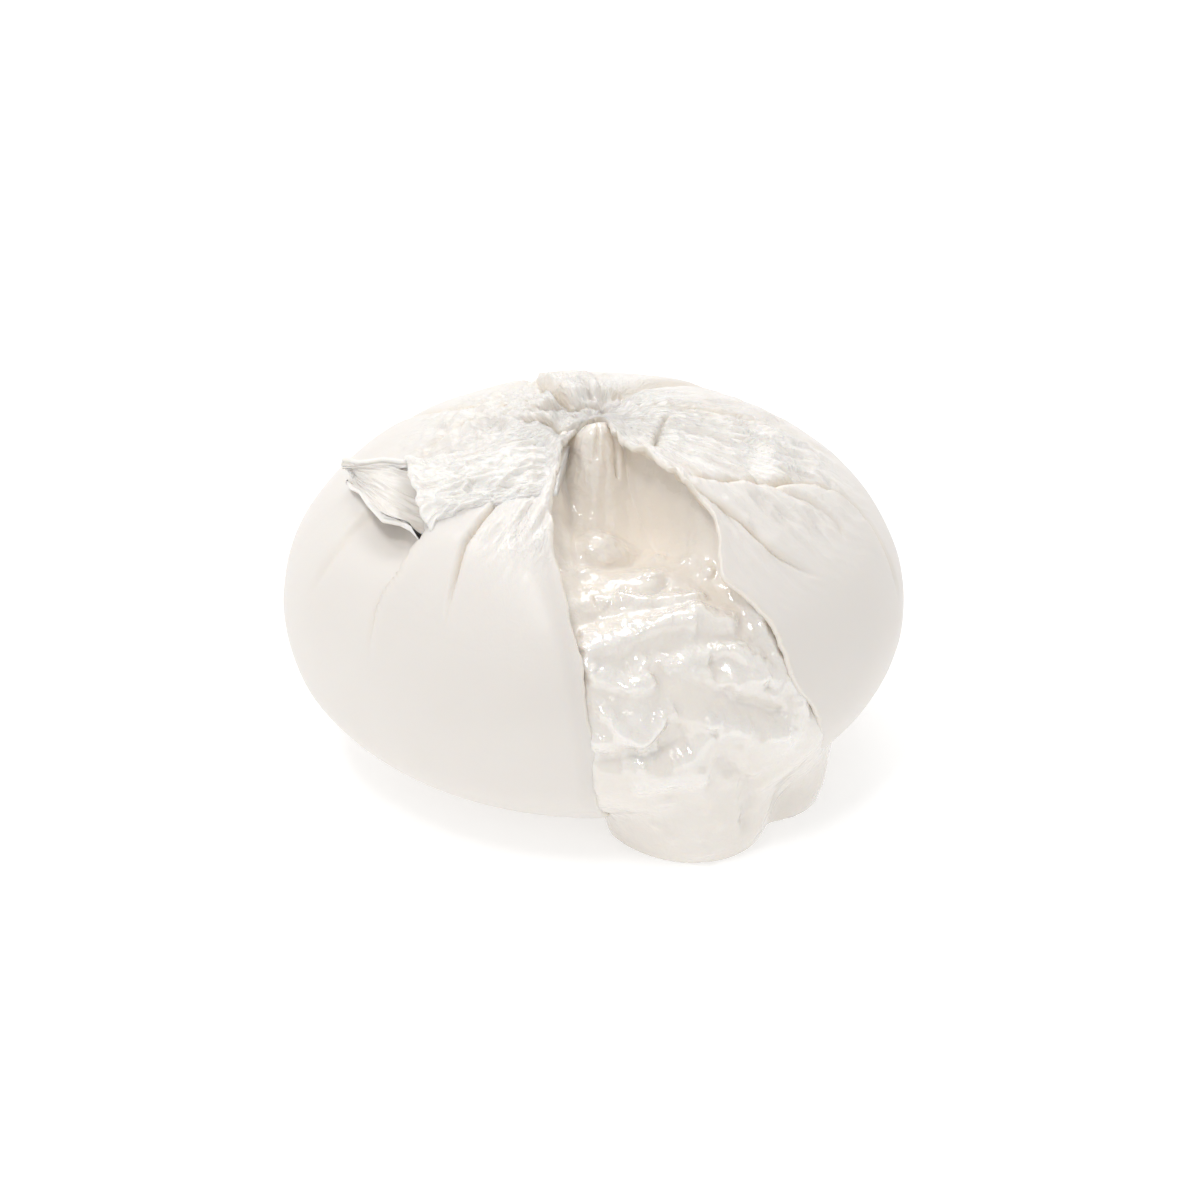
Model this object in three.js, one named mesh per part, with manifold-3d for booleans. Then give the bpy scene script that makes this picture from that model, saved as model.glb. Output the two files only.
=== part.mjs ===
// Burrata torn open at the front: a squat pouch of stretched curd, gathered at the top into a neck
// that has fallen over to one side, and the soft filling that slumps out of the tear.
// Millimetres, +Z up, origin on the table under the middle of the pouch, the tear facing -Y.
// Places on the pouch are given as [polar, azimuth] in degrees: polar is 0 at the gathered top and
// 90 at the widest girth, azimuth is 0 along +X and -90 at the front.
import * as THREE from "three";
import { mergeVertices } from "three/addons/utils/BufferGeometryUtils.js";
import Module from "manifold-3d";

const wasm = await Module();
wasm.setup();
const { degToRad: rad, radToDeg: deg, lerp, smoothstep, euclideanModulo } = THREE.MathUtils;

// ---- The pouch ----
const GIRTH_RADIUS = 47; // the pouch at its widest
const GIRTH_HEIGHT = 23; // height of that girth above the table
const CROWN_RISE = 28; // from the girth up to the gathered top
const BASE_DROP = 26; // from the girth down to where the underside would close, below the table
const BASE_FULLNESS = 2.15; // 2 is an ellipse, more is a fuller underside
const SMOOTH_BASE = [100, 130]; // the relief dies away between these polars
const SKIN = 2.6; // thickness of the stretched curd
const FIT_GAP = 0.3; // between the pouch and what fills it

// The two edges of the tear, from the gathered top down to the foot.
const TEAR_LEFT = [
  [0, -152], [5, -150], [13, -126], [23, -111], [35, -102], [46, -98],
  [60, -94], [79, -91.5], [95, -90.5], [110, -90], [126, -88], [142, -84],
];
const TEAR_RIGHT = [
  [0, -44], [5, -43], [12, -43], [19, -50], [26, -48], [36, -50], [43, -55], [48, -57],
  [54, -54], [61, -51.5], [71, -50.5], [80, -50], [92, -46.5], [112, -42], [126, -44], [142, -54],
];
const TEAR_SPAN = [0.4, 141]; // polars where the tear starts and ends
const TEAR_REACH = [0.5, 1.35]; // its cutter, as shares of the distance from the middle to the skin
const TEAR_CORE = 4; // radius at the top inside which a grown cutter narrows no further

// Folds of the skin. A valley is cut along each path, and one side of it overlaps and stands proud:
// side 1 is the side of growing azimuth.
const FOLDS = [
  { path: [[20, -58], [26, -41], [34, -22], [44, -8], [54, -4], [69, -8], [84, -14]],
    valley: 1.6, width: 2.2, rise: 1.5, side: -1, reach: 7 },
  { path: [[32, -27], [42, -17], [52, -16]],
    valley: 0.8, width: 2.0, rise: 0.4, side: 1, reach: 4 },
  { path: [[22, -54], [27, -49], [33, -44], [40, -42], [48, -40], [58, -34]],
    valley: 1.5, width: 2.2, rise: 1.1, side: 1, reach: 5 },
  { path: [[24, -152], [32, -144], [38, -141], [51, -138.5], [66, -136], [78, -134]],
    valley: 2.6, width: 2.2, rise: 2.2, side: 1, reach: 8 },
  { path: [[20, -133], [26, -131], [34, -129], [42, -126], [56, -124], [64, -123]],
    valley: 1.2, width: 2.0, rise: 0.6, side: -1, reach: 4 },
  { path: [[6, 128], [14, 124], [24, 150], [33, 172], [42, 178]],
    valley: 0.9, width: 1.8, rise: 1.3, side: 1, reach: 6 },
  { path: [[10, 30], [22, 24], [40, 22], [60, 18]],
    valley: 0.8, width: 2.2, rise: 0.6, side: -1, reach: 8 },
  { path: [[8, 70], [20, 66], [42, 60], [62, 58]],
    valley: 0.9, width: 2.2, rise: 0.8, side: 1, reach: 9 },
  { path: [[26, 112], [40, 108], [58, 106], [70, 105]],
    valley: 0.8, width: 2.4, rise: 0.7, side: -1, reach: 9 },
  { path: [[34, -168], [46, -166], [60, -160], [74, -158]],
    valley: 1.0, width: 2.4, rise: 0.6, side: -1, reach: 8 },
];
const FOLD_FADE_IN = [-3, 3]; // degrees about a path's first polar
const FOLD_FADE_OUT = [-12, 2]; // degrees about its last one
const FOLD_LIMIT = 4; // reaches beyond which a fold is no longer felt

// Round hollows and humps: place, radius in mm and height.
const MOUNDS = [
  { at: [0, 0], radius: 6, height: -1.8 }, // the gather sinks in
  { at: [20, 112], radius: 4.6, height: 3.1 }, // a pleat stands up like a tent behind the gather
  { at: [17, 88], radius: 4.6, height: 2.3 },
  { at: [13, 30], radius: 6, height: 1.4 },
  { at: [46, -158], radius: 6.5, height: -2.6 }, // the pocket under the fallen neck
  { at: [22, 168], radius: 9, height: 1.2 },
];

// Small pleats that run into the gather: how high, where, and how many go round the top.
const PLEATS = {
  amplitude: 0.9, peak: 17, spread: 16, main: 11, sway: 25, fine: 19, fineShare: 0.5, fineTurn: 40,
};
const LIP = { rise: 1.8, reach: 5, peak: 18, spread: 14 }; // the right edge of the tear curls up

// The fallen neck: a flattened tube whose lower sheet runs on past its upper one.
const NECK_SKIN = 1.9;
const NECK_RIDGE = [
  [-4, -2.5, 49.6], [-9.5, -4, 50.8], [-16, -5.5, 50.6], [-23.5, -4, 49], [-30, -2, 47.2],
  [-37.6, 2, 44.6],
];
const NECK_HEM = [
  [-6.5, -15.5, 48], [-13, -17, 48.6], [-19.5, -18.8, 47.2], [-25, -18.2, 45.6],
  [-30.5, -14.6, 43.8], [-36.6, -3, 42.6],
];
const NECK_LOWER_END = [1, 1]; // how far along the ridge and the hem the lower sheet runs
const NECK_UPPER_END = [0.78, 0.56]; // and the upper one
const NECK_ARCH = 2.6; // how far the upper sheet stands off the lower one
const NECK_TROUGH = 1.2; // how far the lower sheet sags between ridge and hem
const NECK_UPWARDS = new THREE.Vector3(-0.3, -0.35, 1).normalize();
const NECK_ROOT = 0.35; // share of its length over which the neck opens out

// ---- The filling ----
// Down the tear: how deep its free surface lies below the outside of the skin. Under the lips of the
// tear it leaves a hollow, and behind its front rise the floor of that hollow dips. At the foot it
// runs out in front of the skin.
const FLOW_DEPTH = [
  [0, 5.5], [14, 6.9], [27, 10.2], [42, 13.6], [51, 13.9], [56, 10.4], [60, 7.6], [66, 5.2],
  [73, 3.8], [80, 2.6], [88, 1.4], [97, -0.4], [105, -2.4], [112, -4.6], [118, -6.4], [130, -10],
];
const FLOW_MIDDLE = [[0, -96], [13, -86], [30, -78], [60, -75], [88, -67], [100, -63], [118, -60]];
const FLOW_HALF_WIDTH = [[0, 200], [8, 96], [16, 56], [30, 38], [60, 25], [88, 28], [100, 23], [118, 18]];
const FLOW_FADE = 7; // degrees over which the flow's edges round off
// The lobes that the flow ends in, on the table: centre, radius and half height.
const LOBES = [
  { x: 14.2, y: -30.4, z: 4, radius: 10.2, height: 11 },
  { x: 26.2, y: -21.2, z: 5, radius: 7.8, height: 12 },
  { x: 9.2, y: -30, z: 3, radius: 6.4, height: 9 },
];
// Lumps of torn curd in the cream: [polar, azimuth, length, height, turn], the length across the flow.
const CURDS = [
  [31, -96, 11, 5, 84], [34, -80, 12, 5.4, 95], [34, -64, 13, 5, 78],
  [50, -95, 8, 7, 0], [54, -66, 7.5, 6.6, 0], [52, -80, 10, 6, 10],
  [61, -71, 16, 5.4, 4], [70, -86, 13, 5.8, 14], [68, -72, 15, 6, 12], [68, -59, 11, 5.4, -18],
  [78, -87, 12, 5.8, -12], [77, -74, 12, 5.6, 18], [84, -82, 13, 8, -4], [84, -69, 12, 6, 12],
  [80, -59, 11, 6.6, 10], [84, -50, 9, 7, -20], [75, -49, 15, 6.4, 74],
  [93, -79, 14, 6, 14], [91, -65, 12, 6.4, -10], [94, -50, 11, 7.4, -15], [101, -78, 10, 6, 10],
];
const CURD_SINK = 0.5; // share of a lump's half height that lies in the cream
const TABLE = { side: 200, depth: 50 }; // what lies below the table is cut away

// ---- How finely the solids are cut ----
// Columns and rows of each body's grid: crowding above 1 packs the rows to the top, and share is how
// much of the columns lies within half degrees of the middle azimuth.
const POUCH_GRID = { columns: 76, rows: 45, crowding: 1.25, middle: -85, half: 105, share: 0.76 };
const INSIDE_GRID = { columns: 26, rows: 15, crowding: 1, middle: -75, half: 60, share: 0.45 };
const FLOW_GRID = { columns: 40, rows: 38, crowding: 0.95, middle: -75, half: 60, share: 0.66 };
const TEAR_GRID = [6, 30, 1];
const NECK_GRID = [12, 8, 1];
const CURD_GRID = [10, 6];
const LOBE_GRID = [22, 14];
const OUTLINE_STEP = 3; // degrees between the points of the pouch's outline
const SLOPE_STEP = 0.5; // degrees to each side when a path's slope is measured
const SHEET_STEP = 0.01; // share of a sheet to each side when its slope is measured

const centre = new THREE.Vector3(0, 0, GIRTH_HEIGHT);

// Difference of two azimuths, from -180 to 180 degrees.
function turnFrom(a, b) {
  return euclideanModulo(a - b + 180, 360) - 180;
}

// A smooth curve through [x, y] points, read at x and held at both ends.
function curveAt(points, x) {
  const last = points.length - 1;
  if (x <= points[0][0]) return points[0][1];
  if (x >= points[last][0]) return points[last][1];
  const i = points.findIndex(([px], n) => n < last && px <= x && x < points[n + 1][0]);
  const slope = (k) => {
    const a = points[Math.max(0, k - 1)];
    const b = points[Math.min(last, k + 1)];
    return (b[1] - a[1]) / (b[0] - a[0]);
  };
  const [x0, y0] = points[i];
  const [x1, y1] = points[i + 1];
  const step = x1 - x0;
  const t = (x - x0) / step;
  return (
    (2 * t ** 3 - 3 * t ** 2 + 1) * y0 +
    (t ** 3 - 2 * t ** 2 + t) * step * slope(i) +
    (3 * t ** 2 - 2 * t ** 3) * y1 +
    (t ** 3 - t ** 2) * step * slope(i + 1)
  );
}

const bell = (x, width) => Math.exp(-((x / width) ** 2));

// Distance from the axis and height of the smooth pouch at a polar angle.
function profile(polar) {
  const s = Math.sin(rad(polar));
  const c = Math.cos(rad(polar));
  if (c >= 0) return { r: GIRTH_RADIUS * s, z: GIRTH_HEIGHT + CROWN_RISE * c };
  const full = (s ** BASE_FULLNESS + (-c) ** BASE_FULLNESS) ** (-1 / BASE_FULLNESS);
  const drop = BASE_DROP * -c * full;
  const cut = Math.min(1, GIRTH_HEIGHT / drop);
  return { r: GIRTH_RADIUS * s * full * cut, z: GIRTH_HEIGHT - drop * cut };
}

// The point of the smooth pouch at a polar and azimuth.
function smoothPoint(polar, azimuth) {
  const { r, z } = profile(polar);
  return new THREE.Vector3(r * Math.cos(rad(azimuth)), r * Math.sin(rad(azimuth)), z);
}

// Signed distance in mm from a path, measured across it, and 0 to 1 for how far inside its length.
function acrossPath(path, polar, azimuth) {
  const slope = (curveAt(path, polar + SLOPE_STEP) - curveAt(path, polar - SLOPE_STEP)) / (2 * SLOPE_STEP);
  const slant = Math.hypot(1, slope * Math.sin(rad(polar)));
  const across = (rad(turnFrom(azimuth, curveAt(path, polar))) * profile(polar).r) / slant;
  const first = path[0][0];
  const last = path[path.length - 1][0];
  const fade =
    smoothstep(polar, first + FOLD_FADE_IN[0], first + FOLD_FADE_IN[1]) *
    (1 - smoothstep(polar, last + FOLD_FADE_OUT[0], last + FOLD_FADE_OUT[1]));
  return { across, fade };
}

function foldHeight(fold, polar, azimuth) {
  const { across, fade } = acrossPath(fold.path, polar, azimuth);
  if (fade === 0 || Math.abs(across) > FOLD_LIMIT * fold.reach) return 0;
  const beyond = Math.max(0, across * fold.side);
  const overlap = Math.exp(-beyond / fold.reach) * (1 - bell(beyond, fold.width));
  return fade * (fold.rise * overlap - fold.valley * bell(across, fold.width));
}

function moundHeight({ at, radius, height }, point) {
  return height * bell(point.distanceTo(smoothPoint(...at)), radius);
}

function pleatHeight(polar, azimuth) {
  const main = Math.cos(rad(PLEATS.main * azimuth + PLEATS.sway * Math.sin(rad(2 * azimuth))));
  const fine = Math.cos(rad(PLEATS.fine * azimuth + PLEATS.fineTurn));
  return PLEATS.amplitude * bell(polar - PLEATS.peak, PLEATS.spread) * (main + PLEATS.fineShare * fine);
}

function lipHeight(polar, azimuth) {
  const fromEdge = (rad(turnFrom(azimuth, curveAt(TEAR_RIGHT, polar))) * profile(polar).r) / LIP.reach;
  if (fromEdge < -1) return 0;
  return LIP.rise * Math.exp(-Math.abs(fromEdge)) * bell(polar - LIP.peak, LIP.spread);
}

// Height of all the relief on the skin.
function relief(polar, azimuth, point) {
  const folds = FOLDS.reduce((sum, fold) => sum + foldHeight(fold, polar, azimuth), 0);
  const mounds = MOUNDS.reduce((sum, mound) => sum + moundHeight(mound, point), 0);
  const height = pleatHeight(polar, azimuth) + lipHeight(polar, azimuth) + folds + mounds;
  return height * (1 - smoothstep(polar, ...SMOOTH_BASE));
}

// Height of the hollows alone, which the inside of the skin follows too.
function hollows(point) {
  return MOUNDS.reduce((sum, mound) => sum + Math.min(0, moundHeight(mound, point)), 0);
}

// A point of the smooth pouch moved out by height.
function raised(point, height) {
  const rise = point.z >= GIRTH_HEIGHT ? CROWN_RISE : BASE_DROP;
  const normal = new THREE.Vector3(
    point.x / GIRTH_RADIUS ** 2,
    point.y / GIRTH_RADIUS ** 2,
    (point.z - GIRTH_HEIGHT) / rise ** 2,
  );
  return point.clone().addScaledVector(normal.normalize(), height);
}

// Azimuth of a grid's column, turn being 0 to 1 round the body.
function columnAzimuth(turn, { middle, half, share }) {
  return turn < share
    ? middle - half + (2 * half * turn) / share
    : middle + half + ((360 - 2 * half) * (turn - share)) / (1 - share);
}

// A sphere's grid, each vertex moved to placeAt(polar, azimuth).
function roundBody(placeAt, grid) {
  const { columns, rows, crowding } = grid;
  const body = new THREE.SphereGeometry(1, columns, rows);
  const { position, uv } = body.attributes;
  for (let i = 0; i < position.count; i++) {
    const row = Math.round((1 - uv.getY(i)) * rows);
    const column = Math.round(uv.getX(i) * columns) % columns;
    const onAxis = row === 0 || row === rows;
    const azimuth = onAxis ? 0 : columnAzimuth(column / columns, grid);
    const place = placeAt(180 * (row / rows) ** crowding, azimuth);
    position.setXYZ(i, place.x, place.y, place.z);
  }
  return body;
}

// A box's grid, each vertex moved to placeAt(u, v, w) with u, v and w from 0 to 1.
function mappedBox(placeAt, [across, along, through]) {
  const box = new THREE.BoxGeometry(1, 1, 1, across, along, through).translate(0.5, 0.5, 0.5);
  const { position } = box.attributes;
  for (let i = 0; i < position.count; i++) {
    const place = placeAt(position.getX(i), position.getY(i), position.getZ(i));
    position.setXYZ(i, place.x, place.y, place.z);
  }
  return box;
}

// The closed solid of a geometry, turned the right way out.
function solidOf(geometry) {
  geometry.deleteAttribute("normal");
  geometry.deleteAttribute("uv");
  const merged = mergeVertices(geometry);
  const vertProperties = new Float32Array(merged.attributes.position.array);
  const triVerts = new Uint32Array(merged.index.array);
  const solid = new wasm.Manifold(new wasm.Mesh({ numProp: 3, vertProperties, triVerts }));
  if (solid.volume() > 0) return solid;
  for (let i = 0; i < triVerts.length; i += 3) {
    [triVerts[i + 1], triVerts[i + 2]] = [triVerts[i + 2], triVerts[i + 1]];
  }
  return new wasm.Manifold(new wasm.Mesh({ numProp: 3, vertProperties, triVerts }));
}

// The biggest of a solid's separate bodies.
function mainBody(solid) {
  return solid.decompose().reduce((best, body) => (body.volume() > best.volume() ? body : best));
}

function meshOf(name, solid, material) {
  const { vertProperties, triVerts } = solid.getMesh();
  const geometry = new THREE.BufferGeometry();
  geometry.setAttribute("position", new THREE.BufferAttribute(vertProperties, 3));
  geometry.setIndex(new THREE.BufferAttribute(triVerts, 1));
  geometry.computeVertexNormals();
  const mesh = new THREE.Mesh(geometry, material);
  mesh.name = name;
  return mesh;
}

// The wedge that the tear takes out of the skin, narrowed on both sides and at the foot by grow.
function tearWedge(grow) {
  const foot = TEAR_SPAN[1] - deg((2 * grow) / profile(TEAR_SPAN[1]).r);
  return solidOf(
    mappedBox((u, v, w) => {
      const polar = lerp(TEAR_SPAN[0], foot, v);
      const narrowing = deg(grow / Math.max(profile(polar).r, TEAR_CORE));
      const left = curveAt(TEAR_LEFT, polar) + narrowing;
      const right = curveAt(TEAR_RIGHT, polar) - narrowing;
      const ray = smoothPoint(polar, lerp(left, right, u)).sub(centre);
      return ray.multiplyScalar(lerp(...TEAR_REACH, w)).add(centre);
    }, TEAR_GRID),
  );
}

// One sheet of the neck between the ridge and the hem, arched upwards by arch, grown by grow.
function neckSheet(arch, [ridgeEnd, hemEnd], grow) {
  const ridge = new THREE.CatmullRomCurve3(NECK_RIDGE.map((p) => new THREE.Vector3(...p)));
  const hem = new THREE.CatmullRomCurve3(NECK_HEM.map((p) => new THREE.Vector3(...p)));
  const lay = (u, v) => {
    const along = u * lerp(ridgeEnd, hemEnd, v);
    const lift = arch * Math.sin(Math.PI * v) * smoothstep(along, 0, NECK_ROOT);
    return ridge.getPoint(along).lerp(hem.getPoint(along), v).addScaledVector(NECK_UPWARDS, lift);
  };
  const before = (x) => Math.max(0, x - SHEET_STEP);
  const after = (x) => Math.min(1, x + SHEET_STEP);
  return solidOf(
    mappedBox((u, v, w) => {
      const alongU = lay(after(u), v).sub(lay(before(u), v)).normalize();
      const alongV = lay(u, after(v)).sub(lay(u, before(v))).normalize();
      const normal = alongU.clone().cross(alongV).normalize();
      return lay(u, v)
        .addScaledVector(normal, (2 * w - 1) * (NECK_SKIN / 2 + grow))
        .addScaledVector(alongU, (2 * u - 1) * grow)
        .addScaledVector(alongV, (2 * v - 1) * grow);
    }, NECK_GRID),
  );
}

// The skin of the pouch with its neck. A grown one, used as a cutter, is thicker by grow all over.
function pouchSolid(grow = 0) {
  const outsideAt = (polar, azimuth) => {
    const point = smoothPoint(polar, azimuth);
    return raised(point, relief(polar, azimuth, point) + grow);
  };
  const insideAt = (polar, azimuth) => {
    const point = smoothPoint(polar, azimuth);
    return raised(point, hollows(point) - SKIN - grow);
  };
  return solidOf(roundBody(outsideAt, POUCH_GRID))
    .subtract(solidOf(roundBody(insideAt, INSIDE_GRID)))
    .subtract(tearWedge(grow))
    .add(neckSheet(-NECK_TROUGH, NECK_LOWER_END, grow))
    .add(neckSheet(NECK_ARCH, NECK_UPPER_END, grow));
}

// The pouch's outline as [angle from straight up, distance], both taken from the centre of the girth.
const pouchReach = Array.from({ length: 180 / OUTLINE_STEP + 1 }, (_, i) => {
  const { r, z } = profile(OUTLINE_STEP * i);
  return [deg(Math.atan2(r, z - GIRTH_HEIGHT)), Math.hypot(r, z - GIRTH_HEIGHT)];
});

// The filling's surface, in angles from the centre of the girth: under the skin it ends within the
// skin's thickness, where the pouch cuts it to fit, and in the tear it follows the flow.
function fillingPoint(polar, azimuth) {
  const off = Math.abs(turnFrom(azimuth, curveAt(FLOW_MIDDLE, polar))) - curveAt(FLOW_HALF_WIDTH, polar);
  const depth = lerp(curveAt(FLOW_DEPTH, polar), SKIN / 2, smoothstep(off, -FLOW_FADE, FLOW_FADE));
  const reach = curveAt(pouchReach, polar) - depth;
  const level = reach * Math.sin(rad(polar));
  return new THREE.Vector3(
    level * Math.cos(rad(azimuth)),
    level * Math.sin(rad(azimuth)),
    reach * Math.cos(rad(polar)),
  ).add(centre);
}

// A rounded lump of curd, half sunk in the cream, its long side across the flow before it is turned.
function curdSolid([polar, azimuth, length, height, turn]) {
  const place = fillingPoint(polar, azimuth);
  const outwards = place.clone().sub(centre).normalize();
  const across = new THREE.Vector3(0, 0, 1).cross(outwards).normalize();
  const up = outwards.clone().cross(across).normalize();
  const axes = new THREE.Matrix4().makeBasis(across, up, outwards);
  axes.setPosition(place.addScaledVector(outwards, (-CURD_SINK * height) / 2));
  const lump = new THREE.SphereGeometry(1 / 2, ...CURD_GRID).scale(length, height, height);
  return solidOf(lump.rotateZ(rad(turn)).applyMatrix4(axes));
}

function lobeSolid({ x, y, z, radius, height }) {
  const lobe = new THREE.SphereGeometry(1, ...LOBE_GRID).rotateX(Math.PI / 2);
  return solidOf(lobe.scale(radius, radius, height).translate(x, y, z));
}

function fillingSolid() {
  const core = solidOf(roundBody(fillingPoint, FLOW_GRID));
  const lumps = [...LOBES.map(lobeSolid), ...CURDS.map(curdSolid)];
  const heap = lumps.reduce((sum, lump) => sum.add(lump), core);
  const table = new THREE.BoxGeometry(TABLE.side, TABLE.side, TABLE.depth);
  return heap.subtract(solidOf(table.translate(0, 0, -TABLE.depth / 2))).subtract(pouchSolid(FIT_GAP));
}

const skinMaterial = new THREE.MeshStandardMaterial({ color: 0xebe6de, roughness: 0.38, metalness: 0 });
const fillingMaterial = new THREE.MeshStandardMaterial({ color: 0xebe3d2, roughness: 0.18, metalness: 0 });

const burrata = new THREE.Group();
burrata.add(meshOf("pouch", mainBody(pouchSolid()), skinMaterial));
burrata.add(meshOf("filling", mainBody(fillingSolid()), fillingMaterial));
export default burrata;
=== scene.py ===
# %% [markdown]
# # A torn burrata
# A burrata is a pouch of stretched curd with torn curd and cream inside. This one stands on a table,
# its neck has fallen over to one side, and its front is torn open so that the filling slumps out.
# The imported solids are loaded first: they fix the size and the place of everything that follows, and
# every finished piece stands for one of them.

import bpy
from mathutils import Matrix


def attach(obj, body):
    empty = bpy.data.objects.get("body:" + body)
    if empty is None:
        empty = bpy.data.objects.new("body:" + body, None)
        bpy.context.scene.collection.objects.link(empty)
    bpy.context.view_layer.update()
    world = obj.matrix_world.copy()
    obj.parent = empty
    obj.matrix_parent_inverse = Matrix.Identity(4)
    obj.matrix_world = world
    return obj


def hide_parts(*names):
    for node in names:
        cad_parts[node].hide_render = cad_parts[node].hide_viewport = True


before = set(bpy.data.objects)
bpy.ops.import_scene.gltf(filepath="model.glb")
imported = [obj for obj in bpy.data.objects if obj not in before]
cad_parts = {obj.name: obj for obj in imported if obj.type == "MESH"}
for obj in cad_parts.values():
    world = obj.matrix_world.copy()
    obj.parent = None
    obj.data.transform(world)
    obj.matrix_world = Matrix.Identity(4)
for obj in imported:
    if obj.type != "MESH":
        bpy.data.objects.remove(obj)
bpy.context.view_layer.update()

# %% [markdown]
# ## Numbers that describe soft shapes
# Soft things have no straight edges to measure, so a few short functions say how a number changes over
# the surface: a smooth curve through given points, a bell that fades away to both sides, an ease
# between two limits, and a cloud, which is a random number that changes slowly from place to place.
# Its table of random numbers comes from a fixed seed, so the cheese is the same each time.

# %% Curves, bells and clouds
import math

import bpy
import numpy as np

MM = 0.001
CLOUD_TABLE = np.random.default_rng(11).random((64, 64, 64))


def curve_at(points, x):
    """The smooth curve through (x, y) points, held at both ends."""
    xs, ys = np.array(points, float).T
    count = np.arange(len(xs))
    low, high = np.maximum(count - 1, 0), np.minimum(count + 1, len(xs) - 1)
    slope = (ys[high] - ys[low]) / (xs[high] - xs[low])
    x = np.clip(x, xs[0], xs[-1])
    i = np.clip(np.searchsorted(xs, x, side="right") - 1, 0, len(xs) - 2)
    step = xs[i + 1] - xs[i]
    t = (x - xs[i]) / step
    return (
        (2 * t**3 - 3 * t**2 + 1) * ys[i]
        + (t**3 - 2 * t**2 + t) * step * slope[i]
        + (3 * t**2 - 2 * t**3) * ys[i + 1]
        + (t**3 - t**2) * step * slope[i + 1]
    )


def bell(x, width):
    """1 at zero, fading away to both sides."""
    return np.exp(-((x / width) ** 2))


def ease(x, start, end):
    """0 up to the start, 1 from the end on, and a smooth rise between them."""
    t = np.clip((x - start) / (end - start), 0, 1)
    return t * t * (3 - 2 * t)


def turn_from(a, b):
    """The difference of two azimuths, from -180 to 180 degrees."""
    return (a - b + 180) % 360 - 180


def clouds(x, y, z=0.0):
    """Soft noise from -1 to 1 that changes about once per unit."""
    place = np.broadcast_arrays(x, y, z)
    cell = [np.floor(p).astype(int) for p in place]
    part = [(p - c) ** 2 * (3 - 2 * (p - c)) for p, c in zip(place, cell)]
    total = 0
    for corner in np.ndindex(2, 2, 2):
        weight = 1
        for t, c in zip(part, corner):
            weight = weight * (t if c else 1 - t)
        total = total + weight * CLOUD_TABLE[tuple((n + c) % 64 for n, c in zip(cell, corner))]
    return 2 * total - 1


def creased(x, y, z=0.0):
    """Noise from -1 to 1 with sharp tops and round valleys, as in gathered cloth."""
    return 1 - 2 * np.abs(clouds(x, y, z))


print("a smooth curve halfway:", float(curve_at([(0, 0), (1, 2), (2, 2)], 0.5)))

# %% [markdown]
# ## The outline of the pouch
# A full pouch of soft cheese sags: it is widest below its middle height, its top is a low dome and its
# underside lies flat on the table. Every place on it is given by two angles, as on a globe: polar is 0
# at the gathered top and 90 at the widest girth, and azimuth is 0 to the right and -90 at the front.

# %% The smooth pouch
GIRTH_RADIUS, GIRTH_HEIGHT = 47.0, 23.0
CROWN_RISE, BASE_DROP, BASE_FULLNESS = 28.0, 26.0, 2.15
SKIN = 2.6
CENTRE = np.array([0.0, 0.0, GIRTH_HEIGHT])


def profile(polar):
    """Distance from the axis and height of the smooth pouch, in mm."""
    s, c = np.sin(np.radians(polar)), np.cos(np.radians(polar))
    down = np.maximum(-c, 1e-6)
    full = (np.abs(s) ** BASE_FULLNESS + down**BASE_FULLNESS) ** (-1 / BASE_FULLNESS)
    drop = BASE_DROP * down * full
    cut = np.minimum(1, GIRTH_HEIGHT / drop)
    radius = np.where(c >= 0, GIRTH_RADIUS * s, GIRTH_RADIUS * s * full * cut)
    height = np.where(c >= 0, GIRTH_HEIGHT + CROWN_RISE * c, GIRTH_HEIGHT - drop * cut)
    return radius, height


def on_pouch(polar, azimuth):
    """The point of the smooth pouch at two angles."""
    radius, height = profile(polar)
    turn = np.radians(azimuth)
    return np.stack(np.broadcast_arrays(radius * np.cos(turn), radius * np.sin(turn), height), -1)


def outwards(point):
    """The direction that points straight out of the smooth pouch."""
    rise = np.where(point[..., 2] >= GIRTH_HEIGHT, CROWN_RISE, BASE_DROP)
    normal = np.stack(
        [
            point[..., 0] / GIRTH_RADIUS**2,
            point[..., 1] / GIRTH_RADIUS**2,
            (point[..., 2] - GIRTH_HEIGHT) / rise**2,
        ],
        -1,
    )
    return normal / np.linalg.norm(normal, axis=-1, keepdims=True)


def above(x, y):
    """The two angles of the place on the crown above a point of the table, in mm."""
    return [math.degrees(math.asin(math.hypot(x, y) / GIRTH_RADIUS)), math.degrees(math.atan2(y, x))]


print("girth:", profile(90.0), "foot:", profile(140.0))

# %% [markdown]
# ## The tear
# The skin has torn from the gathered top down to the foot. Its left edge runs almost straight down the
# front, and its right edge swings out to the side. Real edges of a tear are never smooth, so a little
# wander and a finer ragged line are added to both.

# %% The edges of the tear
TEAR_LEFT = [
    [0, -250], [1.2, -205], [2.6, -172], [5, -150], [10.8, -127], [17, -117], [23, -111.5], [30, -106],
    [37, -102.6], [46, -98], [60, -94], [79, -91.5], [95, -90.5], [110, -90], [126, -88], [142, -84],
    [150, -70],
]
TEAR_RIGHT = [
    [0, 60], [1.2, 5], [2.6, -28], [5, -49], [10, -55], [15, -54.6], [19, -52.6], [25, -50.4],
    [30, -49], [36.6, -51], [43, -55], [48, -57], [54, -54], [61, -51.5], [71, -50.5], [80, -50],
    [92, -46.5], [112, -42], [126, -44], [142, -54], [150, -68.5],
]


def ragged(polar, seed):
    """How far an edge of the tear wanders sideways at a polar angle, in mm."""
    fade = ease(polar, 3, 12) * (1 - ease(polar, 120, 138))
    wander = 0.3 * clouds(polar / 9, seed) + 0.12 * clouds(polar / 2.6, seed + 9)
    return fade * (wander + 0.05 * clouds(polar / 0.9, seed + 17))


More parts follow.
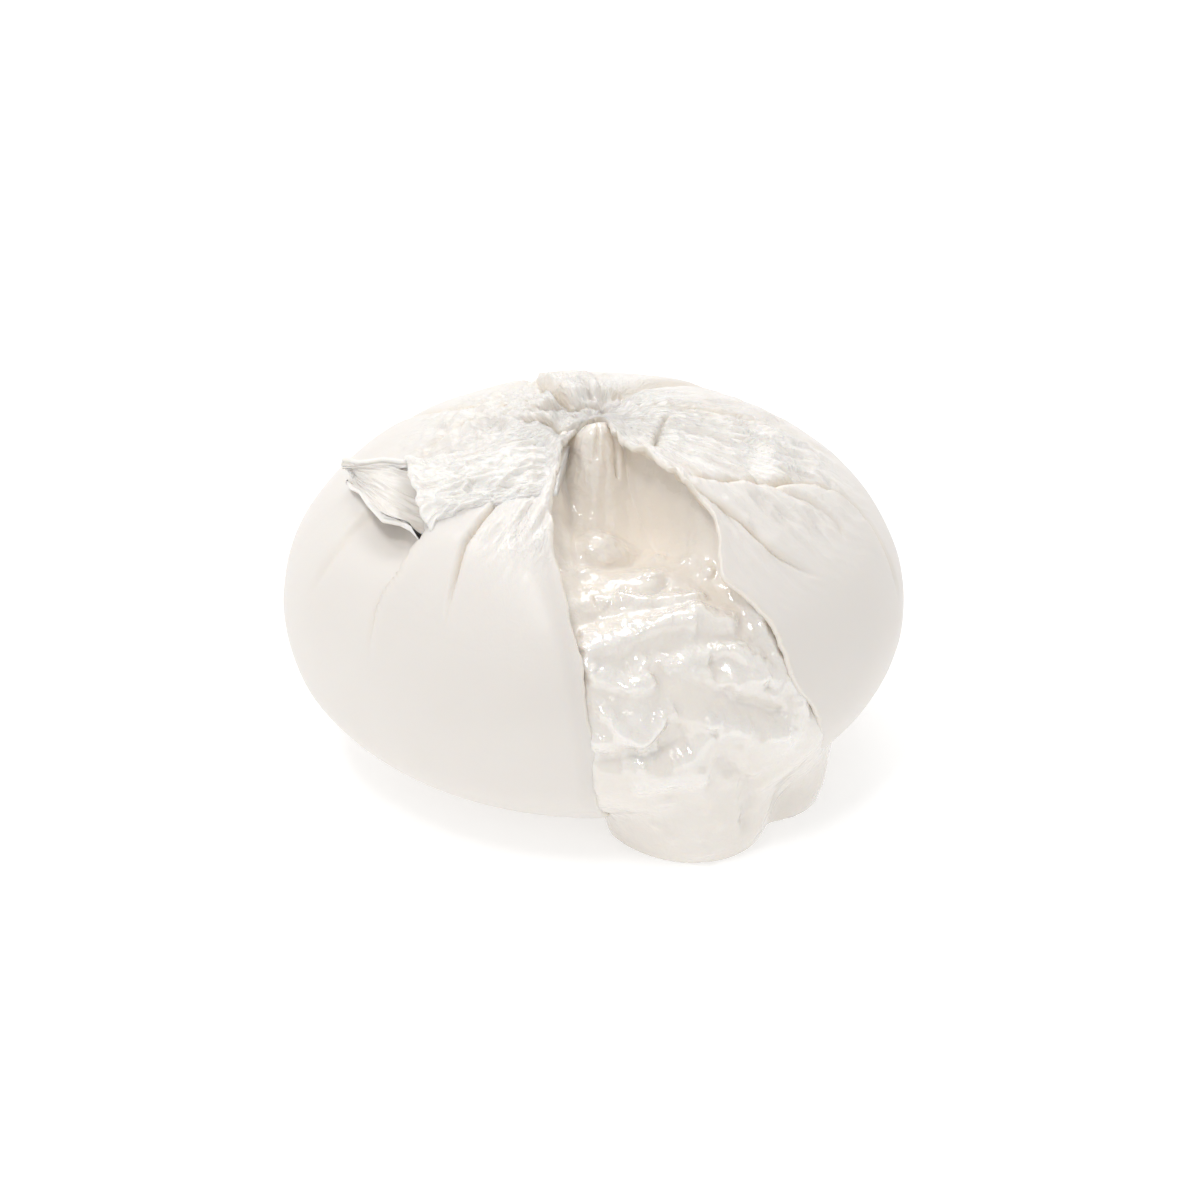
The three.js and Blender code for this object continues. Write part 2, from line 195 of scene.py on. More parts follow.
def edge_azimuth(table, polar, seed):
    """Where an edge of the tear runs at a polar angle, its ragged line included."""
    radius = np.maximum(profile(polar)[0], 4)
    return curve_at(table, polar) + np.degrees(ragged(polar, seed) / radius)


print("tear at the girth, degrees:", float(curve_at(TEAR_LEFT, 90)), float(curve_at(TEAR_RIGHT, 90)))

# %% [markdown]
# ## The folds
# Where the skin was pulled together it folds over itself. A fold is drawn as a path over the pouch with
# a narrow valley along it. One side of the valley stands proud and leans over it, so that the valley
# stays dark. The paths are given in the two angles, or near the gather, where angles are crowded, as
# points above the table. For each point of the skin the signed distance to the path is measured.

# %% Fold paths
def all_above(*points):
    return [above(*point) for point in points]


FOLDS = [
    # path; depth and width of the valley and rise of the proud side, each at the start and the end;
    # then the proud side's reach, which side it is (1 or -1) and how far it leans over; lengths in mm
    # the long creases to the right of the tear
    ([[21, -52], [24, -46], [28, -37], [34, -22], [44, -8], [54, -4], [69, -8], [86, -15]],
     (0.9, 1.9), (0.4, 1.2), (0.5, 1.5), 5, -1, 0.7),
    ([[32, -27], [42, -17], [52, -16], [57, -20]],
     (0.5, 0.3), (0.4, 0.6), (0.4, 0.2), 3, 1, 0.3),
    ([[25, -50], [29, -47], [33, -44], [40, -42], [48, -40], [60, -33]],
     (0.9, 0.8), (0.4, 0.5), (0.6, 0.6), 3.5, 1, 0.7),
    # the tongue below the fallen neck, and the crease beside it
    ([[24, -152], [31, -146], [38, -140.6], [45.5, -138.6], [52.7, -137.3], [57.6, -137.6], [66, -137],
      [80, -134]],
     (2, 0.5), (0.45, 0.7), (2.4, 0.8), 6, 1, 1.5),
    ([[24, -131], [27.4, -130], [30.4, -128.7], [36.7, -127.2], [41, -126.9], [46, -125], [52.8, -123],
      [66, -120]],
     (2, 0.5), (0.3, 0.4), (0.5, 0.2), 3.5, -1, 0.5),
    # softer ones on the left, the back and the far side
    ([[34, -168], [46, -166], [60, -160], [74, -158]],
     (0.4, 0.2), (0.7, 1), (0.4, 0.3), 7, -1, 0.2),
    ([[10, 30], [22, 24], [40, 22], [60, 18]],
     (0.7, 0.5), (0.9, 1.6), (0.5, 0.4), 7, -1, 0.2),
    ([[8, 70], [20, 66], [42, 60], [62, 58]],
     (1, 0.6), (0.9, 1.8), (0.8, 0.5), 8, 1, 0.3),
    ([[26, 112], [40, 108], [58, 106], [70, 105]],
     (0.9, 0.5), (1.1, 2), (0.7, 0.5), 8, -1, 0.2),
    ([[22, 150], [36, 146], [54, 142], [72, 144]],
     (0.8, 0.5), (1, 1.8), (0.6, 0.4), 7, 1, 0.2),
    # round the gather: the long fold over the neck's root, the lips of the twist, the tent-like pleat
    (all_above((-5.1, 7.2), (-7.3, 7.2), (-11.1, 6.6), (-17, 3.4), (-22.9, 0), (-28, -3)),
     (1, 0.7), (0.7, 0.8), (1.4, 1.1), 4.5, 1, 0.5),
    (all_above((-1.2, -0.6), (-3.2, 0.6), (-6, 1.6), (-9, 1.5), (-12, 0.4)),
     (1.7, 0.6), (0.6, 0.6), (1.5, 0.6), 2.2, -1, 1.1),
    (all_above((2.4, 3), (-0.6, 4.2), (-4, 4.6), (-7.9, 3.6), (-12, 1.6)),
     (0.9, 0.5), (0.45, 0.5), (1.2, 0.6), 1.8, -1, 0.6),
    (all_above((1, 1.6), (1.2, 3.4), (1.1, 6), (0.8, 11), (0.5, 16), (0.2, 22), (0, 27)),
     (0.3, 0.4), (0.5, 0.8), (0.7, 1), 4, 1, 0.2),
    (all_above((-2.6, 4.6), (-4, 6.6), (-5.8, 10), (-7.4, 14.6), (-8.8, 20), (-9.5, 24)),
     (1.3, 0.5), (0.6, 1), (2.6, 2), 6.5, -1, 1),
    (all_above((-0.2, 5), (-0.9, 8), (-1.8, 12), (-2.6, 17)),
     (0.6, 0.2), (0.4, 0.6), (0.4, 0.2), 1.6, -1, 0.3),
    (all_above((8.4, -7.6), (8.9, -5), (9.3, -2.6), (10.2, 0.4), (11.8, 3.6)),
     (1, 0.4), (0.5, 0.5), (0.7, 0.3), 2.5, 1, 0.4),
]
PATH_STEPS, PATH_STRIDE = 40, 4


def path_line(path, surface):
    """A path's points, close together, on a smooth surface that is given in two angles."""
    angles = np.array(path, float)
    angles[:, 1] = np.degrees(np.unwrap(np.radians(angles[:, 1])))
    along = np.arange(len(angles), dtype=float)
    t = np.linspace(0, along[-1], PATH_STEPS)
    return surface(*(curve_at(np.c_[along, angles[:, k]], t) for k in (0, 1)))


def beside(line, point, normal):
    """For points of a smooth surface: the distance to a line in mm, minus on its side of falling
    azimuth, the share of the line passed, 0 to 1, and the direction across it."""
    spot = ((line**2).sum(1) - 2 * point @ line.T).argmin(1)
    found = []
    for first in (np.maximum(spot - 1, 0), np.minimum(spot, PATH_STEPS - 2)):
        step = line[first + 1] - line[first]
        part = np.clip(((point - line[first]) * step).sum(1) / (step**2).sum(1), 0, 1)
        foot = line[first] + part[:, None] * step
        found.append((np.linalg.norm(point - foot, axis=1), foot, (first + part) / (PATH_STEPS - 1), step))
    later = found[1][0] < found[0][0]
    nearest, foot, share, step = (
        np.where(later if a.ndim == 1 else later[:, None], b, a) for a, b in zip(*found)
    )
    across = np.cross(normal, step)
    across /= np.maximum(np.linalg.norm(across, axis=1, keepdims=True), 1e-9)
    sign = np.sign(((point - foot) * across).sum(1))
    return nearest * np.where(sign == 0, 1, sign), share, across


def near_line(line, point, reach):
    """Which points lie so close to a line that it can move them."""
    return np.min([np.linalg.norm(point - spot, axis=1) for spot in line[::PATH_STRIDE]], axis=0) < reach


def fold_relief(point, normal):
    """How the folds move points of the smooth pouch, and how deep in a valley each point lies."""
    moved, dark = np.zeros_like(point), np.zeros(len(point))
    for path, valley, width, rise, reach, side, lean in FOLDS:
        line = path_line(path, on_pouch)
        near = near_line(line, point, 3.4 * reach + 3)
        distance, share, across = beside(line, point[near], normal[near])
        s = distance * side
        fade = ease(share, 0, 0.1) * (1 - ease(share, 0.72, 1.0))
        valley, width, rise = (a + (b - a) * share for a, b in (valley, width, rise))
        proud = np.maximum(s, 0)
        height = rise * np.exp(-proud / reach) * (1 - bell(proud, width)) * (s > 0)
        height = height * (1 - ease(np.abs(distance), 2.2 * reach, 3.4 * reach)) - valley * bell(s, width)
        sideways = lean * bell(s - 1.1 * width, 1.3 * width) * side
        moved[near] += (fade * height)[:, None] * normal[near] - (fade * sideways)[:, None] * across
        dark[near] = np.maximum(dark[near], fade * np.minimum(valley, 1) * bell(s, 1.3 * width))
    return moved, dark


print("folds:", len(FOLDS))

# %% [markdown]
# ## Hollows, pleats and crumples
# The gather sinks in, the skin hangs hollow under the fallen neck, and small pleats run into the gather
# from all sides. Between them the skin is crumpled like a drawn-up cloth. Farther out it is stretched
# smooth by the weight of the filling, so all of this fades away towards the girth.

# %% Relief of the skin
MOUNDS = [
    # polar, azimuth, radius, height
    # the gather's slit and the raised lip in front of it
    [*above(-4.6, 0.8), 2.4, -2],
    [*above(1.2, -1.6), 4.6, 1.4],
    [*above(-2.2, 9.5), 4.5, 0.9],
    # fullness behind and to the right, slack under the neck and beside the tongue
    [13, 30, 6, 1.3],
    [22, 168, 9, 1.2],
    [46, -158, 5.5, -1.8],
    [45, -146.5, 4.2, -1.7],
    [38, -160, 6.5, -2.2],
    [*above(-10, -10.5), 5, -1.3],
    [*above(-18, -12), 6, -1.6],
    [*above(-15.5, 1.2), 1.3, -2.4],
    [*above(-12.8, 2.6), 0.9, -1.1],
    [40, -112, 7, 0.8],
]
LIP_RISE, LIP_REACH = 1.8, 5.0


def pleats(polar, azimuth):
    """Height of the pleats that run into the gather."""
    wander = azimuth + 4 * clouds(polar / 9, azimuth / 40)
    broad = creased(wander / 21, polar / 30)
    narrow = creased(wander / 8, polar / 22, 5)
    fine = creased(wander / 3.3, polar / 10, 9)
    finest = creased(wander / 1.7, polar / 6, 13)
    near = bell(polar - 15, 14) * ease(polar, 4, 11) * (1 - 0.65 * bell(turn_from(azimuth, 50), 45))
    right = bell(turn_from(azimuth, -6), 44) * bell(polar - 34, 17)
    band = bell(turn_from(azimuth, -114), 12) * bell(polar - 33, 8)
    return (
        near * (0.6 * broad + 0.45 * narrow + 0.26 * fine)
        + right * (0.2 * narrow + 0.7 * fine + 0.46 * finest)
        + band * (0.5 * fine + 0.32 * finest)
    )


def crumples(point, polar, azimuth):
    """Height of the crumples between the pleats, strongest behind and to the left of the gather."""
    x, y, z = point.T
    left = bell(turn_from(azimuth, 158), 58) * bell(polar - 20, 13)
    near = 0.5 * bell(polar - 9, 10)
    amount = np.maximum(left, near) * ease(polar, 1, 5)
    drift = azimuth + 9 * clouds(x / 3, y / 3) + 3 * clouds(x / 1.2, y / 1.2, 5)
    lines = 0.55 * creased(drift / 7, polar / 8, 3) + 0.4 * creased(drift / 3.2, polar / 3.5, 6)
    cells = 0.5 * creased(x / 2.4, y / 2.4, 1) - 0.3 * creased(x / 1.2, y / 1.2, 4)
    return amount * (lines + cells)


def edge_distance(table, polar, azimuth):
    """How far round the pouch a place lies from an edge of the tear, in mm."""
    return np.radians(turn_from(azimuth, curve_at(table, polar))) * profile(polar)[0]


def skin_relief(polar, azimuth):
    """Points of the pouch's outside with all their relief, and how deep in a valley each lies."""
    point = on_pouch(polar, azimuth)
    normal = outwards(point)
    moved, dark = fold_relief(point, normal)
    height = pleats(polar, azimuth) + crumples(point, polar, azimuth)
    for *place, radius, rise in MOUNDS:
        height += rise * bell(np.linalg.norm(point - on_pouch(*place), axis=1), radius)
    from_right = np.abs(edge_distance(TEAR_RIGHT, polar, azimuth))
    height += LIP_RISE * np.exp(-from_right / LIP_REACH) * bell(polar - 18, 14)
    height += 0.5 * bell(from_right, 1.6) * bell(polar - 30, 25)
    from_left = np.abs(edge_distance(TEAR_LEFT, polar, azimuth))
    height -= 0.9 * bell(from_left, 1.5) * ease(polar, 20, 40)
    height += 0.35 * clouds(*(point / 17).T) + 0.12 * clouds(*(point / 6 + 7).T)
    calm = 1 - ease(polar, 100, 130)
    return point + calm[:, None] * (moved + height[:, None] * normal), dark


sample = skin_relief(np.array([18.0, 30.0, 60.0]), np.array([160.0, -30.0, -100.0]))[0]
print("relief samples, mm from the axis:", np.round(np.linalg.norm(sample[:, :2], axis=1), 2))

# %% [markdown]
# ## Moving a primitive's points
# Such soft relief could be sculpted by hand or grown in a cloth simulation, but then a fold never lands
# quite where it is wanted. A sphere primitive is a ready-made grid of rows and columns that is closed at
# both poles. All three pieces are such a grid, reshaped: each vertex is moved to the place that belongs
# to its row and column. Everything is deselected first, because a new primitive arrives selected.

# %% Helpers for grids
def ball_grid(name, columns, rows):
    """A sphere primitive, with the row and the column of each of its vertices."""
    bpy.ops.object.select_all(action="DESELECT")
    bpy.ops.mesh.primitive_uv_sphere_add(segments=columns, ring_count=rows, radius=1, location=(0, 0, 0))
    piece = bpy.context.object
    piece.name = piece.data.name = name
    spots = spots_of(piece)
    row = np.rint(np.degrees(np.arccos(np.clip(spots[:, 2], -1, 1))) / 180 * rows).astype(int)
    column = np.rint(np.arctan2(spots[:, 1], spots[:, 0]) / math.tau * columns).astype(int) % columns
    return piece, row, column


def spots_of(piece):
    """A piece's vertices, in its own units."""
    spots = np.empty(len(piece.data.vertices) * 3)
    piece.data.vertices.foreach_get("co", spots)
    return spots.reshape(-1, 3)


def on_grid(table, row, column):
    """The values of a table at the vertices of a ball. The poles take those of the nearest row."""
    return table[np.clip(row - 1, 0, len(table) - 1), column]


def grid_piece(name, grid):
    """A ball whose vertices are moved to a grid's places, in mm, and never below the table."""
    piece, row, column = ball_grid(name, grid.shape[1], len(grid) + 1)
    spots = on_grid(grid, row, column)
    spots[row == 0], spots[row == len(grid) + 1] = grid[0].mean(0), grid[-1].mean(0)
    spots[:, 2] = np.maximum(spots[:, 2], 0)
    piece.data.vertices.foreach_set("co", (spots * MM).ravel())
    piece.data.update()
    return piece, row, column


print("grid helpers ready")

# %% [markdown]
# A piece is finished with a few operators, each on that piece alone. What a material should know about
# a place, such as how wet it is, is kept as a number for each vertex, because a pattern in space alone
# can't know where the tear or a fold is.

# %% Helpers for finishing a piece
def write_on(piece, name, values):
    """Keeps a number, or three, for each vertex, which a material can read by its name."""
    values = np.asarray(values, float)
    kind, field = ("FLOAT_VECTOR", "vector") if values.ndim == 2 else ("FLOAT", "value")
    piece.data.attributes.new(name, kind, "POINT").data.foreach_set(field, values.ravel())


def only(piece):
    bpy.ops.object.select_all(action="DESELECT")
    piece.select_set(True)
    bpy.context.view_layer.objects.active = piece


def modify(piece, kind, **settings):
    """Adds a modifier and applies it."""
    only(piece)
    modifier = piece.modifiers.new(kind.title(), kind)
    for key, value in settings.items():
        setattr(modifier, key, value)
    bpy.ops.object.modifier_apply(modifier=modifier.name)


def face_out(piece):
    """Merges doubles, turns all faces outwards and shades them smooth."""
    only(piece)
    bpy.ops.object.mode_set(mode="EDIT")
    bpy.ops.mesh.select_all(action="SELECT")
    bpy.ops.mesh.remove_doubles(threshold=1e-7)
    bpy.ops.mesh.normals_make_consistent(inside=False)
    bpy.ops.object.mode_set(mode="OBJECT")
    bpy.ops.object.shade_smooth()


def report(piece):
    low, high = spots_of(piece).min(0) / MM, spots_of(piece).max(0) / MM
    print(piece.name, "faces:", len(piece.data.polygons), "mm:", np.round(low, 1), np.round(high, 1))


print("finishing helpers ready")

# %% [markdown]
# ## The skin as one bent shell
# The skin is a sheet of stretched curd 2 to 3 mm thick, thinner along the tear. It could be a sphere
# with a thickness and a hole cut into it, but a cut leaves splinters along its edge. So each row of the
# grid runs round the outside from the right edge of the tear to the left one, rolls over that edge, comes
# back along the inside and rolls over the right edge. The edges come out round and the shell is closed.
# More rows and columns go where the eye will look: to the top, the front and the folds.

# %% Spread the rows and the columns
SKIN_ROWS, SKIN_COLUMNS, ROLL_STEPS, INSIDE_COLUMNS = 232, 356, 5, 34
EDGE_SKIN, EDGE_REACH = 1.2, 7


def spread(density, places, count):
    """Count places, crowded where the density is high."""
    total = np.r_[0, np.cumsum((density[1:] + density[:-1]) / 2 * np.diff(places))]
    return np.interp(np.linspace(0, total[-1], count), total, places)


fine_polars = np.linspace(0, 180, 721)
row_density = 0.22 + 0.85 * (1 - ease(fine_polars, 55, 112)) + 0.1 * (1 - ease(fine_polars, 112, 140))
ROW_POLARS = spread(row_density, fine_polars, SKIN_ROWS + 1)


def column_azimuths(polar):
    """Where the columns of a row lie: from the right edge of the tear round to the left one."""
    right = edge_azimuth(TEAR_RIGHT, polar, 3)
    left = edge_azimuth(TEAR_LEFT, polar, 5) + 360
    places = np.linspace(right, left, 900)
    density = 0.5 + 0.9 * bell(turn_from(places, -105), 55) + 0.9 * bell(turn_from(places, -25), 42)
    density += 0.4 * bell(turn_from(places, 160), 60) + 1.0 * (1 - ease(polar, 10, 30))
    return spread(density, places, SKIN_COLUMNS)


inner_rows = np.arange(1, SKIN_ROWS)
outer_azimuth = np.array([column_azimuths(p) for p in ROW_POLARS[inner_rows]])
outer_polar = np.repeat(ROW_POLARS[inner_rows, None], SKIN_COLUMNS, 1)
print("rows to the girth:", int((ROW_POLARS < 90).sum()), "of", SKIN_ROWS)

# %% Lay out the shell
outer, valley_depth = skin_relief(outer_polar.ravel(), outer_azimuth.ravel())
outer = outer.reshape(*outer_polar.shape, 3)
inside_share = 0.5 + 0.5 * np.cos(np.linspace(0, np.pi, INSIDE_COLUMNS))
inside_azimuth = outer_azimuth[:, :1] + (outer_azimuth[:, -1:] - outer_azimuth[:, :1]) * inside_share
inside_polar = np.repeat(outer_polar[:, :1], INSIDE_COLUMNS, 1)
under_skin = skin_relief(inside_polar.ravel(), inside_azimuth.ravel())[0].reshape(*inside_polar.shape, 3)
to_edge = np.minimum(outer_azimuth[:, -1:] - inside_azimuth, inside_azimuth - outer_azimuth[:, :1])
thick = EDGE_SKIN + (SKIN - EDGE_SKIN) * ease(np.radians(to_edge) * profile(inside_polar)[0], 0, EDGE_REACH)
inner = under_skin - thick[..., None] * outwards(on_pouch(inside_polar, inside_azimuth))
edge_normals = outwards(on_pouch(outer_polar[:, [0, -1]], outer_azimuth[:, [0, -1]]))
inner[:, 0] = outer[:, -1] - EDGE_SKIN * edge_normals[:, 1]
inner[:, -1] = outer[:, 0] - EDGE_SKIN * edge_normals[:, 0]


def roll(start, end, out):
    """Points that roll over an edge, from one face of the skin to the other."""
    turn = np.pi * np.arange(1, ROLL_STEPS + 1) / (ROLL_STEPS + 1)
    middle, half = (start + end) / 2, (start - end) / 2
    bulge = np.linalg.norm(half, axis=1)[:, None] * out
    return middle[:, None] + half[:, None] * np.cos(turn)[:, None] + bulge[:, None] * np.sin(turn)[:, None]


def heading(a, b):
    """The direction from a to b."""
    step = b - a
    return step / np.maximum(np.linalg.norm(step, axis=1, keepdims=True), 1e-9)


left_out = heading(outer[:, -4], outer[:, -1])
right_out = heading(outer[:, 3], outer[:, 0])
open_share = (1 - ease(outer_polar[:, :1], 136, 146)) * ease(outer_polar[:, :1], 1, 5)
left_roll = roll(outer[:, -1], inner[:, 0], left_out * open_share)
right_roll = roll(inner[:, -1], outer[:, 0], right_out * open_share)
shell = np.concatenate([outer, left_roll, inner, right_roll], axis=1)

skin, row, column = grid_piece("skin", shell)
report(skin)

# %% [markdown]
# ## What the skin's material will need
# The fibres of stretched curd run away from the gather, so the two angles of each vertex are kept with it:
# the material lays its grain along them. A flat map laid over the pouch would stretch the fibres at the
# gather instead. Kept too are how fibrous the place is, how wet the filling has made it, and how deep it
# lies in a crease. The material paints that depth as shade: a warmer, darker tone in the creases, round the
# torn edge and on the inside.

# %% Keep the grain with the skin
def by_vertex(outside, rolled=0.0, inside=0.0):
    """Spreads numbers of the outer columns over all vertices of the shell."""
    around_edges = np.full((len(outside), 2 * ROLL_STEPS + INSIDE_COLUMNS), float(inside))
    around_edges[:, :ROLL_STEPS] = around_edges[:, -ROLL_STEPS:] = rolled
    return on_grid(np.c_[outside, around_edges], row, column)


left_edge, right_edge = (np.repeat(outer_azimuth[:, end], ROLL_STEPS, 1) for end in ([-1], [0]))
azimuth = on_grid(np.c_[outer_azimuth, left_edge, inside_azimuth, right_edge], row, column)
write_on(skin, "grain", np.c_[azimuth, ROW_POLARS[row], np.zeros(len(row))])
fibrous = np.maximum.reduce([
    bell(outer_polar - 12, 16),
    bell(turn_from(outer_azimuth, 2), 34) * bell(outer_polar - 32, 17),
    0.75 * bell(turn_from(outer_azimuth, -112), 13) * bell(outer_polar - 34, 9),
    0.7 * bell(turn_from(outer_azimuth, 160), 45) * bell(outer_polar - 26, 12),
])
write_on(skin, "fibrous", by_vertex(fibrous, 0.4))
# Painted shade: the crease number is the valley depth outside, a third on the rolled edges and full on the
# inside; the material darkens and warms the white by it.
write_on(skin, "crease_shade", by_vertex(valley_depth.reshape(outer_polar.shape), 0.35, 1.0))
wet = 0.9 * bell(turn_from(outer_azimuth, -108), 12) * bell(outer_polar - 38, 11)
write_on(skin, "wet", by_vertex(wet, 0.8, 1.0))
face_out(skin)
report(skin)

# %% [markdown]
# ## The fallen neck
# The pouch was twisted shut, and the end of the twist is a flattened tube of skin that has fallen to
# the left. Its upper sheet is cut short, so one looks into it and sees the lower sheet, which runs on
# to the tip. Two flat sheets joined along their sides would be simple, but they would show a seam where
# the real neck is round. So it is made as the skin was, as one grid that is closed at both poles: out
# along the tube, over the rim and back inside to a closed end.

# %% The neck's lines
NECK_RIDGE = [
    [-3, -1.5, 48.4], [-9.5, -3.6, 50], [-17.5, -6.6, 49.4], [-22.8, -5.6, 48], [-28.8, -2.6, 46.2],
    [-37.6, 1, 44.3],
]
NECK_HEM = [
    [-5, -15.6, 48], [-10.5, -17.7, 48], [-16.5, -18.4, 47.1], [-23, -19.4, 45.4],
    [-30.5, -14.8, 43.8], [-36, -1, 42.3],
]
NECK_UP = np.array([-0.3, -0.35, 1]) / np.linalg.norm([-0.3, -0.35, 1])
NECK_COLUMNS, NECK_ROWS, NECK_BACK_ROWS = 260, 135, 50
NECK_LENGTH, NECK_ROUND, NECK_SKIN = 38, 32, 1.0


def neck_line(points, along):
    """The place at a share of the way along a curve through points, in mm."""
    places = np.linspace(0, 1, len(points))
    return np.stack([curve_at(np.c_[places, np.array(points)[:, k]], along) for k in range(3)], -1)


def neck_end(around):
    """How far along the neck its wall runs: the upper sheet is cut short on a slant."""
    upper = np.sin(around)
    slant = 0.68 - 0.07 * np.cos(around)
    notch = 0.012 * clouds(around * 2.2, 3) + 0.008 * clouds(around * 7, 5)
    return 1 + (slant + notch - 1) * ease(upper, -0.16, 0.06)


def neck_wall(along, around):
    """The neck's outside: ridge and hem joined by an arched upper sheet and a sagging lower one."""
    ridge, hem = neck_line(NECK_RIDGE, along), neck_line(NECK_HEM, along)
    middle, half = (ridge + hem) / 2, (hem - ridge) / 2
    lift = 1.0 + 0.4 * ease(along, 0.0, 0.3) + 1.2 * ease(along, 0.4, 0.62)
    sag = 1.2 + 3.4 * ease(along, 0.2, 0.5) - 3.8 * ease(along, 0.6, 0.9)
    upper = np.maximum(np.sin(around), 0) ** 1.15 * lift
    lower = np.maximum(-np.sin(around), 0) ** 0.8 * sag
    place = middle + half * np.cos(around)[..., None] + (upper - lower)[..., None] * NECK_UP
    hang = bell(along - 0.64, 0.035) * bell(np.cos(around) - 1, 0.25)
    return place + hang[..., None] * np.array([0.3, -3.2, -2.4])


around = np.linspace(0, math.tau, NECK_COLUMNS, endpoint=False)
share = np.linspace(0.02, 1, NECK_ROWS)[:, None]
along = share * neck_end(around)[None, :]
wall = neck_wall(along, np.broadcast_to(around, along.shape))
print("neck grid:", wall.shape)

# %% [markdown]
# The neck is the most crumpled part of all: the curd was pulled while hot, and its fibres fan out from
# the twist. Long folds and fine ridges follow those fibres. They are added straight out from the wall,
# along normals measured on the grid itself. Bump alone would leave the neck's outline smooth. The
# crumples fade at the hem, where the wall turns sharply and would otherwise cross itself.

# %% Crumple the neck and roll its rim
def grid_normals(grid):
    """Outward directions of a grid whose columns close on themselves."""
    down = np.gradient(grid, axis=0)
    side = np.roll(grid, -1, 1) - np.roll(grid, 1, 1)
    normal = np.cross(side, down)
    normal = normal / np.maximum(np.linalg.norm(normal, axis=-1, keepdims=True), 1e-9)
    outside = ((grid - grid.mean(1, keepdims=True)) * normal).sum() > 0
    return normal if outside else -normal


wall_normal = grid_normals(wall)
reach_along = along * NECK_LENGTH


def round_neck(size, step):
    """Three coordinates for noise that closes on itself round the neck and changes every few mm."""
    circle = NECK_ROUND / size / math.tau
    sway = clouds(np.cos(around) * 3 + 9, np.sin(around) * 3, reach_along / 5)
    drift = clouds(np.cos(around) * 4, 7, reach_along / 3)
    wander = around + 1.6 / circle * sway
    return np.cos(wander) * circle + 20, np.sin(wander) * circle + 20, reach_along / step + drift


folds_long = 0.55 * creased(*round_neck(4.2, 5)) + 0.3 * creased(*round_neck(2.2, 4))
folds_fine = 0.26 * creased(*round_neck(1.4, 2.2))
grit = 0.14 * creased(*round_neck(0.8, 1.2))
lower_sheet, past_cut = ease(-np.sin(around), 0, 0.4), ease(along, 0.6, 0.7)
crumple = (folds_long + folds_fine + grit) * ease(along, 0.02, 0.2)
crumple = crumple * (1 - (0.25 + 0.35 * ease(along, 0.6, 0.75)) * lower_sheet)
at_hem = bell(turn_from(np.degrees(around), 0), 16 + 16 * past_cut)
crumple = crumple * (1 - (0.7 + 0.2 * past_cut) * at_hem)
flare = 0.5 * ease(share, 0.95, 1.0)
wall = wall + (crumple + flare)[..., None] * wall_normal
back_share = np.linspace(1, 0.25, NECK_BACK_ROWS)
rows_back = np.rint(back_share * (NECK_ROWS - 1)).astype(int)
flat_part = ease(np.cos(around), -0.9, -0.2) * (1 - ease(np.sin(around), 0.05, 0.25))
spread_out = (ease(along, 0.56, 0.66) * flat_part)[..., None]
into = spread_out * NECK_UP - (1 - spread_out) * wall_normal
lining = wall[rows_back] + NECK_SKIN * into[rows_back]
rim_line = np.roll(wall[-1], -1, 0) - np.roll(wall[-1], 1, 0)
off_rim = np.cross(rim_line, (wall[-1] - lining[0]) / 2)
off_rim *= np.sign((off_rim * (wall[-1] - wall[-4])).sum())
rim = roll(wall[-1], lining[0], heading(0, off_rim)).swapaxes(0, 1)
sleeve = np.concatenate([wall, rim, lining], axis=0)

neck, row, column = grid_piece("neck", sleeve)
turn = around[column]
fibre_place = on_grid(reach_along, row, column) / 0.82
write_on(neck, "grain", np.c_[14.5 * np.cos(turn), fibre_place, 6.5 * np.sin(turn) + 30])
on_lining = (row > NECK_ROWS + ROLL_STEPS).astype(float)
write_on(neck, "fibrous", 0.9 - 0.5 * on_lining)
# A trace of painted shade on the neck's lining.
write_on(neck, "crease_shade", 0.05 * on_lining)
write_on(neck, "wet", 0.2 * on_lining)
face_out(neck)
report(neck)

# %% [markdown]
# ## The filling
# The filling is torn curd in cream. In the tear its surface lies below the skin, deepest under the lips
# of the tear, and lower down it swells out over the edges and ends in lobes on the table. Its surface
# is one distance for each direction from the middle of the pouch: that of the flow, melted together
# with that of the lobes. Separate lumps would show seams, which wet cream doesn't have.

# %% The smooth filling
FLOW_DEPTH = [
    [0, 1.5], [3, 2.2], [7, 3.8], [14, 6.6], [27, 10.4], [42, 13.6], [51, 13.9], [56, 10.4], [60, 7.6],
    [66, 5.2], [73, 3.8], [80, 2.6], [88, 1.4], [97, -0.2], [105, -0.6], [112, -0.5], [118, 0],
    [130, 1],
]
FLOW_MIDDLE = [[0, -96], [13, -86], [30, -78], [60, -75], [88, -67], [100, -63], [118, -62]]
FLOW_HALF_WIDTH = [[0, 200], [8, 96], [16, 56], [30, 38], [60, 25], [88, 28], [100, 25], [118, 23]]
outline_radius, outline_height = profile(np.arange(0, 181, 3.0))
outline_height = outline_height - GIRTH_HEIGHT
outline_polar = np.degrees(np.arctan2(outline_radius, outline_height))
POUCH_REACH = np.c_[outline_polar, np.hypot(outline_radius, outline_height)]


def ray(polar, azimuth):
    """A direction from the middle of the girth."""
    polar, azimuth = np.radians(polar), np.radians(azimuth)
    flat = np.sin(polar)
    return np.stack(np.broadcast_arrays(flat * np.cos(azimuth), flat * np.sin(azimuth), np.cos(polar)), -1)


LOBES = [
    # x, y, z of the middle, radius and half height, mm
    [14.6, -29.6, 8.5, 12.2, 16], [25.2, -20.6, 8, 9.6, 16],
    [8.8, -29.6, 6, 7.6, 13], [29.4, -14.5, 7, 6, 13],
]
LOBE_BLEND = 1.4


